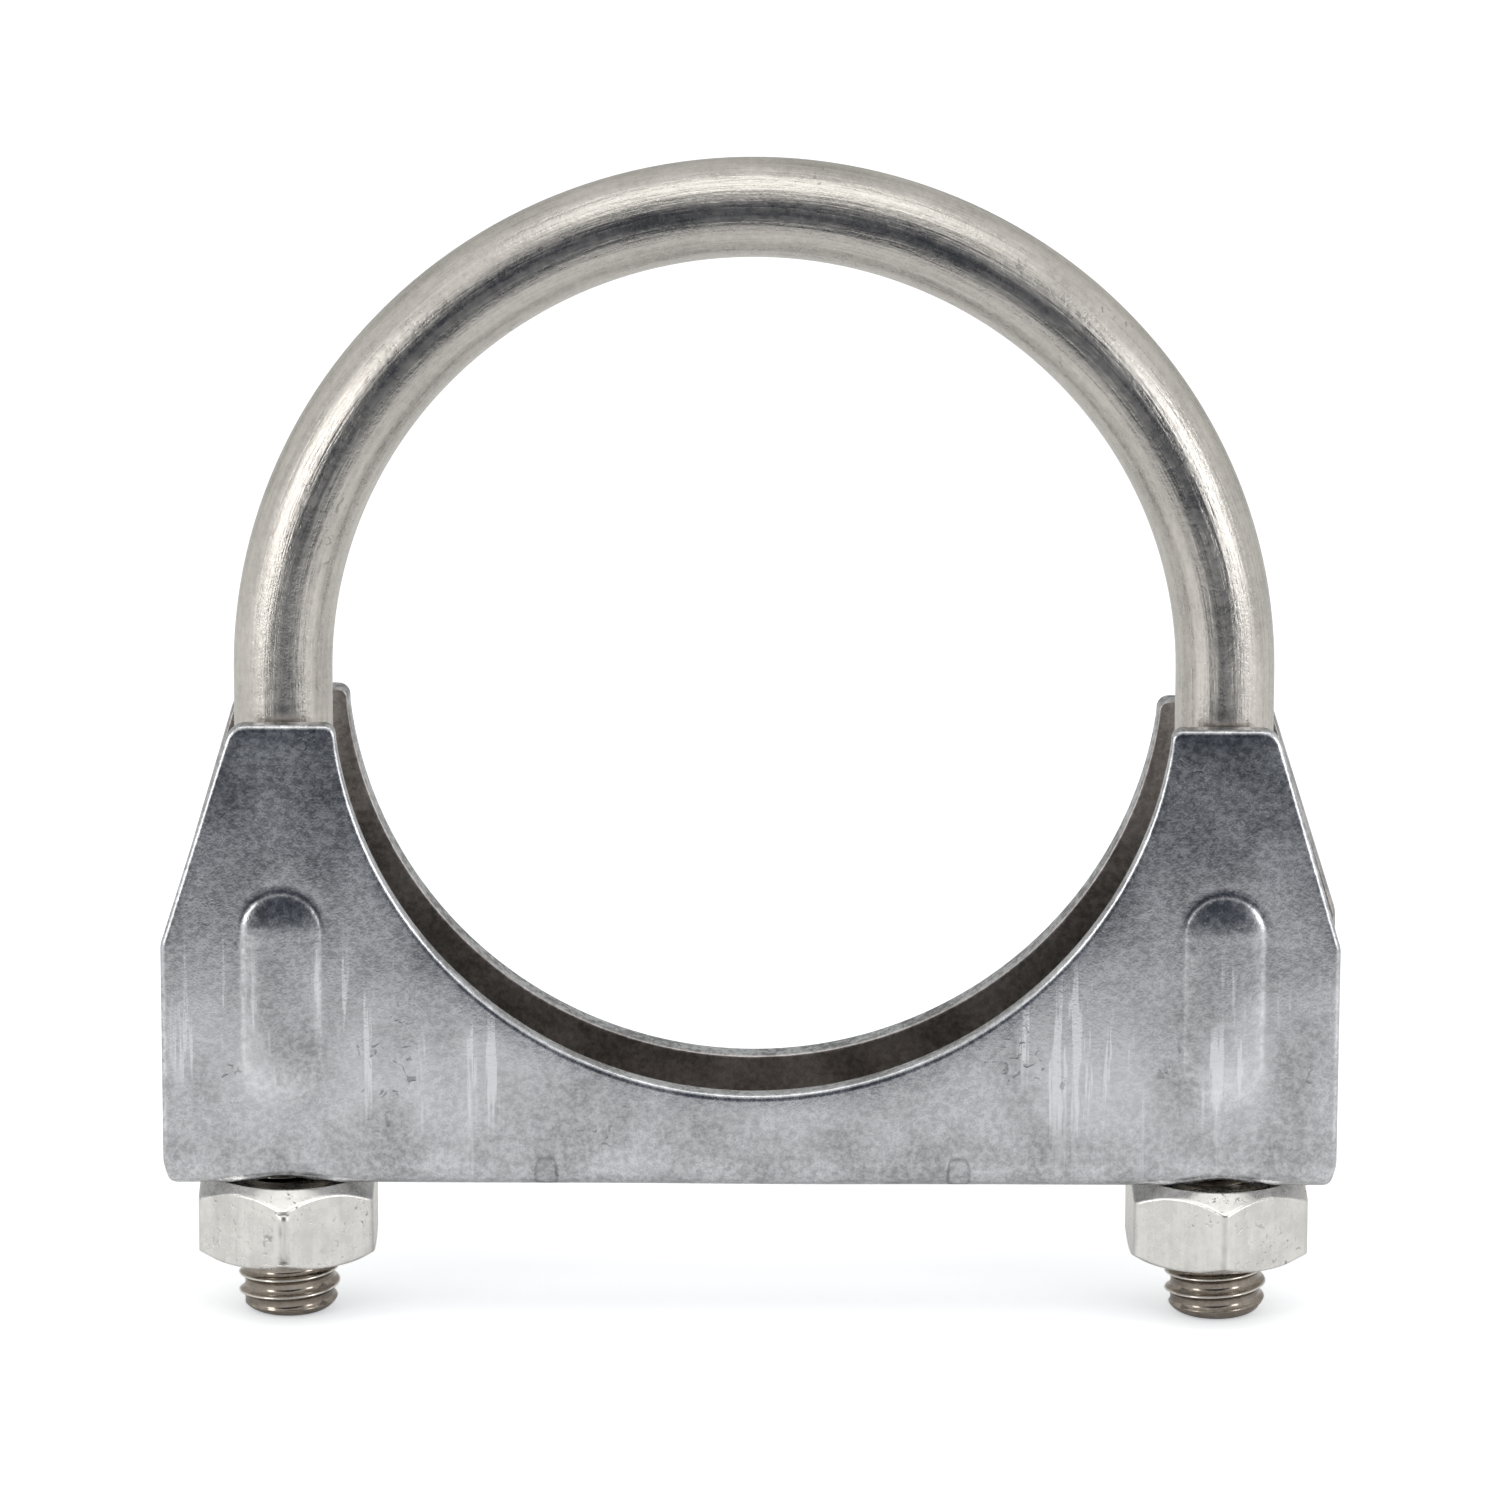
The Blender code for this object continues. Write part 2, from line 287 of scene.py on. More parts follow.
def thread_grid(tree, term, thread, low, high, steps):
    """A helical grid between two heights that begins and ends in level rings. Row 0 is spare."""
    step = term["Pitch"] / steps
    rows = (high - low) / step + (steps + 3)
    mesh, row, turn = grid(tree, rows.apply("CEIL"), term["Sides"] + 1)
    climb = (row - (steps + 1)) * step + turn * term["Pitch"] + low
    height = climb.apply("MAXIMUM", low).apply("MINIMUM", high)
    inputs = {key: term[key] for key, _, _ in THREAD_INPUTS}
    inputs.update({"Height": height, "Turn": turn})
    radius = use_group(tree, thread, "GeometryNodeGroup", inputs).outputs[0]
    return mesh, row, turn, height, Term(tree, radius)


def threaded_leg_group(thread, steps):
    """One threaded leg, rounded at its end and running out into the plain rod above."""
    inputs = ROD_SIZES + [
        ("Side", FLOAT, 1.0), ("Run-out", FLOAT, RUN_OUT), ("Start", FLOAT, 0.0),
    ]
    tree, term, out = new_group(
        "threaded_leg", "GeometryNodeTree", inputs, [("Geometry", GEOMETRY)]
    )
    low = term["Thread Top"] * 0.0
    mesh, row, turn, height, radius = thread_grid(
        tree, term, thread, low, term["Thread Top"], steps
    )
    plain = term["Rod Radius"]
    runout = (term["Thread Top"] - height).remap(0.0, term["Run-out"], 0.0, 1.0, "SMOOTHSTEP")
    radius = plain + (radius - plain) * runout
    rise = 1.0 - height.remap(0.0, term["End Round"], 0.0, 1.0)
    swell = (1.0 - rise * rise).apply("SQRT")
    limit = term["End Radius"] + (term["Crest Radius"] - term["End Radius"]) * swell
    radius = radius.apply("MINIMUM", limit) * row.apply("MINIMUM", 1.0)
    across, deep = circle(turn * math.tau)
    x = term["Side"] * term["Leg X"] + radius * across
    share = (radius - term["Root Radius"]) / (term["Crest Radius"] - term["Root Radius"])
    mesh = store_vector(tree, mesh, "along", height, across * WRAP, deep * WRAP)
    # Height on the thread's profile, which the material uses to paint a highlight on the crests
    mesh = store_vector(tree, mesh, "crest", share, 0.0, 0.0)
    mesh = set_position(tree, mesh, x, radius * deep, height)
    mesh = add_node(tree, "GeometryNodeFlipFaces", {0: mesh}).outputs[0]
    feed(tree, out.inputs[0], mesh)
    return tree


def join(tree, *meshes):
    node = tree.nodes.new("GeometryNodeJoinGeometry")
    for mesh in meshes:
        tree.links.new(mesh, node.inputs[0])
    return node.outputs[0]


def finish_tree(tree, mesh, material, out):
    """Welds the seams, smooths the faces, and ends the tree as the export needs it."""
    mesh = add_node(tree, "GeometryNodeMergeByDistance", {"Geometry": mesh, "Distance": WELD})
    mesh = add_node(tree, "GeometryNodeSetShadeSmooth", {"Geometry": mesh.outputs[0]})
    mesh = add_node(tree, "GeometryNodeRealizeInstances", {"Geometry": mesh.outputs[0]})
    mesh = add_node(
        tree, "GeometryNodeSetMaterial", {"Geometry": mesh.outputs[0], "Material": material}
    )
    feed(tree, out.inputs[0], mesh.outputs[0])


def bent_rod_group(thread, steps):
    """The whole rod: a threaded leg, a plain leg, the bow, and down the other side."""
    leg = threaded_leg_group(thread, steps)
    inputs = ROD_SIZES + [
        ("Bow Height", FLOAT, BOW_HEIGHT), ("Bow Rows", INT, BOW_ROWS),
        ("Left Start", FLOAT, 0.0), ("Right Start", FLOAT, 0.0), ("Material", MATERIAL, None),
    ]
    tree, term, out = new_group("bent_rod", "GeometryNodeTree", inputs, [("Geometry", GEOMETRY)])
    legs = []
    for side, start in ((-1.0, "Left Start"), (1.0, "Right Start")):
        values = {key: term[key] for key, _, _ in ROD_SIZES}
        values.update({"Side": side, "Start": term[start]})
        legs.append(use_group(tree, leg, "GeometryNodeGroup", values).outputs[0])
    mesh, row, turn = grid(tree, term["Bow Rows"], term["Sides"] + 1)
    straight = term["Bow Height"] - term["Thread Top"]
    bow = term["Leg X"] * math.pi
    way = row / (term["Bow Rows"] - 1) * (straight * 2.0 + bow)
    angle = math.pi - (way - straight).apply("MAXIMUM", 0.0).apply("MINIMUM", bow) / term["Leg X"]
    below = (straight - way).apply("MAXIMUM", 0.0) + (way - straight - bow).apply("MAXIMUM", 0.0)
    across, deep = circle(turn * math.tau)
    reach = term["Leg X"] + term["Rod Radius"] * across
    x = reach * angle.apply("COSINE")
    z = term["Bow Height"] + reach * angle.apply("SINE") - below
    mesh = store_vector(
        tree, mesh, "along", way + term["Thread Top"], across * WRAP, deep * WRAP
    )
    mesh = set_position(tree, mesh, x, term["Rod Radius"] * deep, z)
    finish_tree(tree, join(tree, *legs, mesh), term["Material"], out)
    return tree


# Rows of a nut's outside, and the last row of the chamfer cone at each face
NUT_ROWS, CONE_ROW = 71, 31
NUT_SIDES = 240
NUT_LIP = 0.00012
CONE_OVERLAP = 0.0004
# How softly neighbouring flats, and flats and cones, run into each other
FLAT_BLEND, CONE_BLEND = 0.0006, 0.00022
SIXTH = math.pi / 3
# Top and bottom: radius of the flat face and slope of the cone beyond it
NUT_TOP = (7.65 * MM, math.tan(math.radians(40)))
NUT_FOOT = (8.3 * MM, math.tan(math.radians(33)))
# Depth of wear that shows fully dark
DARK_WEAR = 0.0003


def ramp(row, first, last, amount):
    """Grows from nothing to amount between two rows."""
    return row.remap(float(first), float(last), 0.0, 1.0) * amount


def nut_side(term, row, face, slope):
    """Turned radius and depth below a face: countersink, flat, chamfer and side, by row."""
    beyond = term["Across Flats"] * (1 / math.sqrt(3)) + CONE_OVERLAP
    radius = term["Countersink"] + ramp(row, 0, 1, NUT_LIP)
    radius = radius + ramp(row, 1, 2, face - term["Countersink"] - 2 * NUT_LIP)
    radius = radius + ramp(row, 2, 3, NUT_LIP) + ramp(row, 3, CONE_ROW, beyond - face)
    return radius, ramp(row, 3, CONE_ROW, (beyond - face) * slope)


def nut_body(tree, term):
    """The outside of a nut: a hexagon whose corners are turned off by cones at both faces."""
    mesh, row, turn = grid(tree, Term(tree, add_node(
        tree, "FunctionNodeInputInt", integer=NUT_ROWS).outputs[0]), term["Sides"] + 1)
    last = NUT_ROWS - 1
    upper = row.apply("LESS_THAN", last / 2)
    mirrored_row = row.apply("MINIMUM", last - row)
    top_radius, top_depth = nut_side(term, mirrored_row, term["Top Face"], term["Top Slope"])
    low_radius, low_z = nut_side(term, mirrored_row, term["Bottom Face"], term["Bottom Slope"])
    turned = top_radius * upper + low_radius * (1.0 - upper)
    side = mirrored_row.remap(float(CONE_ROW), last / 2, 0.0, 0.5)
    top_z = term["Height"] - top_depth
    wall = top_z - low_z
    z = (top_z - wall * side) * upper + (low_z + wall * side) * (1.0 - upper)
    from_corner = (turn * 6.0 - term["Corner Turn"] / SIXTH).apply("FRACT")
    from_flat = (from_corner - 0.5).apply("ABSOLUTE") * SIXTH
    flat = term["Across Flats"] / 2.0
    near = flat / from_flat.apply("COSINE")
    far = flat / (SIXTH - from_flat).apply("COSINE")
    hexagon = near.apply("SMOOTH_MIN", far, FLAT_BLEND)
    radius = turned.apply("SMOOTH_MIN", hexagon, CONE_BLEND)
    across, deep = circle(turn * math.tau)
    dent = add_node(tree, "ShaderNodeTexNoise", {
        "Vector": combine_xyz(tree, radius * across, radius * deep, z),
        "Scale": 620.0, "Detail": 4.0, "Roughness": 0.65, "W": term["Seed"],
    }, noise_dimensions="4D")
    corner = from_flat.remap(math.radians(26.5), math.radians(29), 0.0, 1.0, "SMOOTHSTEP")
    bite = Term(tree, dent.outputs[0]).remap(0.47, 0.58, 0.0, 1.0, "SMOOTHSTEP")
    facing = deep.remap(-0.9, -0.99, 0.0, 1.0)
    on_side = turned.apply("GREATER_THAN", radius + 0.0001)
    worn = corner * bite * on_side * facing
    radius = radius - worn * term["Corner Wear"]
    mesh = store_vector(tree, mesh, "along", z, radius * across, radius * deep)
    mesh = store_vector(tree, mesh, "worn", worn * term["Corner Wear"] / DARK_WEAR, 0.0, 0.0)
    centre = term["Side"] * term["Leg X"]
    return set_position(
        tree, mesh, centre + radius * across, radius * deep, z + term["Bottom"]
    )


def nut_group(thread, steps):
    inputs = THREAD_INPUTS + [
        ("Side", FLOAT, 1.0), ("Leg X", FLOAT, LEG_X), ("Bottom", FLOAT, 6.15 * MM),
        ("Height", FLOAT, 8.0 * MM), ("Across Flats", FLOAT, 17.0 * MM),
        ("Countersink", FLOAT, 5.4 * MM), ("Top Face", FLOAT, NUT_TOP[0]),
        ("Top Slope", FLOAT, NUT_TOP[1]), ("Bottom Face", FLOAT, NUT_FOOT[0]),
        ("Bottom Slope", FLOAT, NUT_FOOT[1]), ("Corner Turn", FLOAT, 0.0),
        ("Corner Wear", FLOAT, 0.0), ("Seed", FLOAT, 0.0), ("Sides", INT, NUT_SIDES),
        ("Material", MATERIAL, None),
    ]
    tree, term, out = new_group("hex_nut", "GeometryNodeTree", inputs, [("Geometry", GEOMETRY)])
    body = nut_body(tree, term)
    high = term["Bottom"] + term["Height"]
    mesh, row, turn, height, radius = thread_grid(
        tree, term, thread, term["Bottom"], high, steps)
    inset = (height - term["Bottom"]).apply("MINIMUM", high - height)
    radius = radius.apply("MAXIMUM", term["Countersink"] - inset)
    across, deep = circle(turn * math.tau)
    mesh = store_vector(tree, mesh, "along", height, across * WRAP, deep * WRAP)
    bore = set_position(
        tree, mesh, term["Side"] * term["Leg X"] + radius * across, radius * deep, height
    )
    finish_tree(tree, join(tree, body, bore), term["Material"], out)
    return tree


def sizes_of(*groups):
    """The numbers in settings, by the names that a tree's inputs have too."""
    return {
        prop.name: getattr(group, key)
        for group in groups for key, prop in group.bl_rna.properties.items()
        if prop.type == "FLOAT"
    }


def grow(name, group, values):
    """Runs a geometry tree once and keeps the result as a plain mesh at the origin."""
    seed = bpy.data.objects.new(name + "_seed", bpy.data.meshes.new(name + "_seed"))
    bpy.context.scene.collection.objects.link(seed)
    modifier = seed.modifiers.new(name, "NODES")
    modifier.node_group = group
    for item in group.interface.items_tree:
        if item.in_out == "INPUT" and item.name in values:
            modifier[item.identifier] = values[item.name]
    made = seed.evaluated_get(bpy.context.evaluated_depsgraph_get())
    mesh = bpy.data.meshes.new_from_object(made)
    bpy.data.objects.remove(seed, do_unlink=True)
    mesh.name = name
    return place(name, mesh)


def place(name, mesh):
    obj = bpy.data.objects.new(name, mesh)
    bpy.context.scene.collection.objects.link(obj)
    return obj


def hand_over(obj, body, node):
    """Puts a finished piece on its body in place of its CAD node."""
    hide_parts(node)
    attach(obj, body)


# Saddle: a flat blank with punched holes, pressed pads and folded sides

WEB_HALF = 5.0 * MM
WEB_BOTTOM = SADDLE_BOX[0].z - 0.2 * MM
PLATE_TOP = SADDLE_BOX[1].z
# The front plate and the rear one, which was punched a little higher. Pairs are right, left
FRONT_PLATE = {
    "seat": 40.2 * MM, "centre": 64.0 * MM, "rounds": (1.9 * MM, 2.1 * MM),
    "tops": (PLATE_TOP, PLATE_TOP + 0.2 * MM), "ends": (56.4 * MM, 56.9 * MM),
}
REAR_PLATE = {
    "seat": 39.4 * MM, "centre": 63.6 * MM, "rounds": (1.3 * MM, 3.2 * MM),
    "tops": (PLATE_TOP - 0.1 * MM, PLATE_TOP + 0.9 * MM), "ends": (56.8 * MM, 56.6 * MM),
}
# How far below the outer face a bend keeps its length, as a share of the thickness
NEUTRAL = 0.44
OUTLINE_STEP = 0.38 * MM
# How a sheared edge goes round from the outer face to the inner one: (in from the edge,
# share of the roll, share of the thickness, roughness of the torn metal)
EDGE_ROUND = (
    (0.66, 0.0, 0.0, 0.0), (0.46, 0.06, 0.0, 0.0), (0.30, 0.20, 0.0, 0.0),
    (0.16, 0.42, 0.0, 0.0), (0.05, 0.70, 0.0, 0.05), (0.0, 1.0, 0.02, 0.35),
    (0.0, 1.0, 0.14, 0.95), (0.05, 1.0, 0.42, 1.0), (0.09, 1.0, 0.80, 0.9),
    (0.16, 0.0, 0.97, 0.3), (0.30, 0.0, 1.0, 0.0), (0.45, 0.0, 1.0, 0.0),
)
PAD_CENTRE = 33.5 * MM
PAD_HALF_WIDTH = 3.9 * MM
PAD_HALF_HEIGHT = 10.4 * MM
PAD_PROFILE = (
    (-0.9, 0.0), (-0.35, -0.03), (0.0, 0.05), (0.2, 0.2), (0.5, 0.36), (1.1, 0.56),
    (1.8, 0.76), (2.7, 0.93), (3.9, 1.0),
)
DART_X = 19.9 * MM
DART_SLANT = math.radians(30)
DART_TOP = 3.2 * MM
DART_HALF_WIDTH = 1.2 * MM
DART_DEPTH = 0.8 * MM
DART_WALL = 2.1 * MM


def turn_corner(before, corner, after, radius, steps=7):
    """Points of a round in place of an outline's corner."""
    a = np.array(before) - corner
    b = np.array(after) - corner
    a, b = a / np.hypot(*a), b / np.hypot(*b)
    half = math.acos(max(-1.0, min(1.0, float(a @ b)))) / 2
    middle = (a + b) / np.hypot(*(a + b))
    centre = np.array(corner) + middle * radius / math.sin(half)
    first = np.array(corner) + a * radius / math.tan(half) - centre
    last = np.array(corner) + b * radius / math.tan(half) - centre
    points = []
    for i in range(steps + 1):
        blend = first + (last - first) * i / steps
        points.append(tuple(centre + blend * radius / np.hypot(*blend)))
    return points


def plate_contour(plate):
    """A plate's edge from its right end over both tips and the seat to its left end, as (x, z)."""
    radius, centre = plate["seat"], plate["centre"]
    contour = []
    for side, tip_radius, top, end in zip((1, -1), plate["rounds"], plate["tops"], plate["ends"]):
        seat_x = math.sqrt(radius ** 2 - (centre - top) ** 2)
        below_x = seat_x - 0.9 * MM
        base = (side * (end - 0.7 * MM), WEB_BOTTOM)
        knee = (side * end, WEB_BOTTOM + 2.6 * MM)
        shoulder = (side * end, 38.6 * MM)
        tip = (side * 50.0 * MM, top)
        seat = (side * seat_x, top)
        inside = (side * below_x, centre - math.sqrt(radius ** 2 - below_x ** 2))
        points = [base] + turn_corner(base, knee, shoulder, 3.0 * MM)
        points += turn_corner(knee, shoulder, tip, 2.2 * MM)
        points += turn_corner(shoulder, tip, seat, tip_radius)
        points += turn_corner(tip, seat, inside, 1.1 * MM)
        contour.append(points)
    first = math.atan2(contour[0][-1][1] - centre, contour[0][-1][0])
    last = math.atan2(contour[1][-1][1] - centre, contour[1][-1][0])
    seat = []
    for i in range(1, 120):
        angle = first + (last - first) * i / 120
        seat.append((radius * math.cos(angle), centre + radius * math.sin(angle)))
    return contour[0] + seat + contour[1][::-1]


def unfold(z, settings):
    """How far from the web's middle line a height on a plate lies in the flat blank."""
    bend = settings.bend
    arc = bend_length(settings)
    if z >= WEB_BOTTOM + bend:
        return WEB_HALF + arc + z - WEB_BOTTOM - bend
    share = math.acos(1 - (z - WEB_BOTTOM) / bend) / (math.pi / 2)
    return WEB_HALF + arc * share


def bend_length(settings):
    return (settings.bend - settings.sheet * NEUTRAL) * math.pi / 2


def even(points, step):
    """A closed line cut into even steps."""
    loop = np.array(points + points[:1])
    lengths = np.hypot(*np.diff(loop, axis=0).T)
    loop = loop[np.append(True, lengths > 1e-9)]
    way = np.append(0.0, np.cumsum(np.hypot(*np.diff(loop, axis=0).T)))
    count = int(way[-1] / step)
    at = np.arange(count) * way[-1] / count
    return np.stack([np.interp(at, way, loop[:, 0]), np.interp(at, way, loop[:, 1])], axis=1)


def inward(loop):
    """Unit vectors that point to the left of a closed line."""
    ahead = np.roll(loop, -1, axis=0) - np.roll(loop, 1, axis=0)
    left = np.stack([-ahead[:, 1], ahead[:, 0]], axis=1)
    return left / np.hypot(*left.T)[:, None]


def blank_loops(settings):
    """The blank's outline and its two leg holes, each with its material on the left."""
    rear, front = plate_contour(REAR_PLATE), plate_contour(FRONT_PLATE)
    outline = [(x, unfold(z, settings)) for x, z in rear]
    outline += [(x, -unfold(z, settings)) for x, z in reversed(front)]
    loops = [even(outline, OUTLINE_STEP)]
    for x in (-LEG_X, LEG_X):
        angles = np.linspace(0, -math.tau, 121)[:-1]
        ring = np.stack([x + settings.hole_radius * np.cos(angles),
                         settings.hole_radius * np.sin(angles)], axis=1)
        loops.append(ring)
    return loops


def pad_places(settings):
    """Middles of the four pads in the blank."""
    middle = unfold(PAD_CENTRE, settings)
    return [(x, side * middle) for x in (-LEG_X, LEG_X) for side in (-1, 1)]


def pad_depth(points, centre):
    """How far inside a pad's oval rim points lie."""
    straight = PAD_HALF_HEIGHT - PAD_HALF_WIDTH
    off = points - centre
    over = np.sign(off[:, 1]) * np.maximum(np.abs(off[:, 1]) - straight, 0.0)
    return PAD_HALF_WIDTH - np.hypot(off[:, 0], over)


def pad_points(centre):
    """Rings of points that follow the pad's profile."""
    points = [(centre[0], centre[1] + y * MM) for y in np.arange(-6.5, 6.6, 0.8)]
    straight = PAD_HALF_HEIGHT - PAD_HALF_WIDTH
    for inside, _ in PAD_PROFILE[:-1]:
        radius = PAD_HALF_WIDTH - inside * MM
        round_end = np.linspace(0, math.pi, 22)
        side = np.linspace(-straight, straight, 24)[1:-1]
        for sign in (-1, 1):
            points += [(centre[0] + sign * radius * math.cos(a),
                        centre[1] + sign * (straight + radius * math.sin(a))) for a in round_end]
            points += [(centre[0] + sign * radius, centre[1] + y) for y in side]
    return np.array(points)


def net(x_low, x_high, x_step, s_values):
    """A flat net of points, every other row moved by half a step."""
    rows = []
    for i, s in enumerate(s_values):
        xs = np.arange(x_low + (i % 2) * x_step / 2, x_high, x_step)
        rows.append(np.stack([xs, np.full_like(xs, s)], axis=1))
    return np.concatenate(rows)


def inner_points(settings):
    """Groups of points inside the blank, the finest first: (points, room to keep round each)."""
    arc = bend_length(settings)
    groups = [(pad_points(centre), 0.12 * MM) for centre in pad_places(settings)]
    for side in (-1, 1):
        dart_rows = side * (WEB_HALF - 0.9 * MM + np.arange(0, 28) * 0.22 * MM)
        for x in (-DART_X, DART_X):
            groups.append((net(x - 1.9 * MM, x + 1.9 * MM, 0.2 * MM, dart_rows), 0.12 * MM))
    for side in (-1, 1):
        bend_rows = side * (WEB_HALF + arc * np.linspace(-0.08, 1.08, 15))
        groups.append((net(-57 * MM, 57 * MM, 1.1 * MM, bend_rows), 0.2 * MM))
    reach = unfold(PLATE_TOP, settings)
    everywhere = np.arange(-reach, reach, 2.4 * MM)
    groups.append((net(-57 * MM, 57 * MM, 2.4 * MM, everywhere), 1.0 * MM))
    return groups


def inside_loops(points, loops):
    """Whether points lie in the blank: inside its outline and outside its holes."""
    found = np.zeros(len(points), bool)
    for loop in loops:
        a, b = loop, np.roll(loop, -1, axis=0)
        for (ax, ay), (bx, by) in zip(a, b):
            crosses = (ay > points[:, 1]) != (by > points[:, 1])
            slope = (bx - ax) / (by - ay) if by != ay else 0.0
            found ^= crosses & (points[:, 0] < ax + slope * (points[:, 1] - ay))
    return found


def thin_out(taken, points, room):
    """Those points that keep their room from the taken ones."""
    tree = kdtree.KDTree(len(taken))
    for i, (x, y) in enumerate(taken):
        tree.insert((x, y, 0.0), i)
    tree.balance()
    return np.array([p for p in points if tree.find((p[0], p[1], 0.0))[2] > room]).reshape(-1, 2)


def fill_blank(rings, groups):
    """Triangles between closed rings, through the given points. Returns points and triangles."""
    taken = np.concatenate(rings)
    for points, room in groups:
        points = points[inside_loops(points, rings)]
        taken = np.concatenate([taken, thin_out(taken, points, room)])
    edges = []
    first = 0
    for ring in rings:
        count = len(ring)
        edges += [(first + i, first + (i + 1) % count) for i in range(count)]
        first += count
    flat = [Vector((float(x), float(y))) for x, y in taken / MM]
    made = delaunay_2d_cdt(flat, edges, [], 1, 1e-5)
    if len(made[0]) != len(taken):
        raise RuntimeError("the blank's points run into each other")
    faces = np.array([face[:] for face in made[2]])
    middles = taken[faces].mean(axis=1)
    return taken, faces[~inside_loops(middles, rings[1:])]


def press_pads(flat, settings):
    """How far the pads push each point of the blank outwards."""
    out = np.zeros(len(flat))
    depths, shares = np.array(PAD_PROFILE).T
    for centre in pad_places(settings):
        inside = pad_depth(flat, np.array(centre)) / MM
        out += np.interp(inside, depths, shares) * settings.pad_rise * (inside > depths[0])
    return out


def sway(flat):
    """The slight unevenness of pressed sheet."""
    x, s = flat.T / MM
    wave = np.sin(x * 0.083 + 0.9) * np.cos(s * 0.11) + 0.5 * np.sin(x * 0.19 - s * 0.13)
    return wave * 0.035 * MM


def fold(flat, inset, settings):
    """Folds points of the blank, which lie inset below its outer face, into the channel."""
    arc = bend_length(settings)
    away = np.abs(flat[:, 1])
    side = np.sign(flat[:, 1])
    share = np.clip((away - WEB_HALF) / arc, 0, 1) * math.pi / 2
    radius = settings.bend - inset
    y = np.minimum(away, WEB_HALF) + radius * np.sin(share)
    up = settings.bend - radius * np.cos(share) + np.maximum(away - WEB_HALF - arc, 0)
    return np.stack([flat[:, 0], side * y, WEB_BOTTOM + up], axis=1)


def press_darts(points, wall, settings):
    """Presses four short slanted grooves into the folds. wall is the metal left behind each.
    Returns the places and how near each is to a groove's rim."""
    out, down = math.cos(DART_SLANT), math.sin(DART_SLANT)
    face = WEB_HALF + settings.bend
    start = out * face - down * DART_TOP
    reach = out * np.abs(points[:, 1]) - down * (points[:, 2] - WEB_BOTTOM) - start
    across = np.abs(np.abs(points[:, 0]) - DART_X) / (DART_HALF_WIDTH + wall * 0.35)
    raw = reach - DART_DEPTH * across ** 5 + wall
    soft = 0.03 * MM
    push = (raw + np.sqrt(raw ** 2 + soft ** 2)) / 2 * np.clip(4 - 3 * across, 0, 1)
    low = points[:, 2] < DART_TOP * 3 + WEB_BOTTOM
    push = np.where(low & (reach > -wall * 1.5 - MM), push, 0)
    moved = points.copy()
    moved[:, 1] -= np.sign(points[:, 1]) * push * out
    moved[:, 2] += push * down
    # How near a point is to a groove's rim: the sheet's colour darkens there as painted shade
    rim = 1.6 * np.exp(-(raw / (0.15 * MM)) ** 2) * (across < 1.3) * (reach > -0.2 * MM)
    return moved, rim


def shape_sheet(flat, roll, depth, settings):
    """Places points of the blank: rolled edges, pads, folds and darts."""
    inset = roll * settings.roll * (1 - depth) + depth * settings.sheet
    out = press_pads(flat, settings) + sway(flat)
    points = fold(flat, inset - out, settings)
    shallow, rim = press_darts(points, 0.0, settings)
    deep, _ = press_darts(points, DART_WALL, settings)
    places = shallow + (deep - shallow) * np.clip(depth, 0, 1)[:, None]
    for centre in pad_places(settings):
        inside = pad_depth(flat, np.array(centre)) / MM
        # Pad rims add to the same mask of painted shade
        rim = np.maximum(rim, 0.75 * np.exp(-((inside + 0.12) / 0.16) ** 2))
    return places, rim * (depth < 0.5)


class Layers:
    """Points of the sheet, added layer by layer, and the faces between them."""

    def __init__(self):
        self.flat, self.roll, self.depth, self.bright, self.faces = [], [], [], [], []
        self.count = 0

    def add(self, points, roll, depth, bright):
        """Adds points that share their other values. Returns the number of the first."""
        first = self.count
        self.flat.append(points)
        for kept, value in ((self.roll, roll), (self.depth, depth), (self.bright, bright)):
            kept.append(np.full(len(points), value))
        self.count += len(points)
        return first


def sheet_layers(settings):
    """The rounded edges of the blank, and its outer and inner faces."""
    layers = Layers()
    loops = blank_loops(settings)
    sides = [inward(loop) for loop in loops]
    rows = []
    for inset, roll, depth, bright in EDGE_ROUND:
        rings = [loop + side * inset * MM for loop, side in zip(loops, sides)]
        rows.append((rings, [layers.add(ring, roll, depth, bright) for ring in rings]))
    for (_, outer), (_, inner) in zip(rows, rows[1:]):
        for loop, a, b in zip(loops, outer, inner):
            for i in range(len(loop)):
                j = (i + 1) % len(loop)
                layers.faces.append((a + i, a + j, b + j, b + i))
    groups = inner_points(settings)
    for row, order in ((0, (0, 2, 1)), (-1, (0, 1, 2))):
        rings, starts = rows[row]
        points, triangles = fill_blank(rings, groups)
        on_rings = sum(len(ring) for ring in rings)
        first = layers.add(points[on_rings:], 0.0, EDGE_ROUND[row][2], 0.0)
        index = np.append(starts[0] + np.arange(on_rings),
                          first + np.arange(len(points) - on_rings))
        layers.faces += [tuple(int(index[face[k]]) for k in order) for face in triangles]
    return layers


def saddle_mesh(settings):
    layers = sheet_layers(settings)
    flat, roll, depth, bright = (
        np.concatenate(part) for part in (layers.flat, layers.roll, layers.depth, layers.bright)
    )
    places, rim = shape_sheet(flat, roll, depth, settings)
    mesh = bpy.data.meshes.new("saddle_sheet")
    mesh.from_pydata(places.tolist(), [], layers.faces)
    mesh.attributes.new("cut_edge", "FLOAT", "POINT").data.foreach_set("value", bright)
    # Mask of painted shade along the rims of the pads and darts
    mesh.attributes.new("crease", "FLOAT", "POINT").data.foreach_set("value", rim)
    lying = np.stack([flat[:, 0], flat[:, 1], depth], axis=1).astype(np.float32)
    mesh.attributes.new("lying", "FLOAT_VECTOR", "POINT").data.foreach_set("vector", lying.ravel())
    mesh.shade_smooth()
    mesh.update()
    return mesh


# Shader groups

def texture_place(tree):
    return add_node(tree, "ShaderNodeTexCoord").outputs["Object"]


def attribute(tree, name, output="Vector"):
    return add_node(tree, "ShaderNodeAttribute", attribute_name=name).outputs[output]


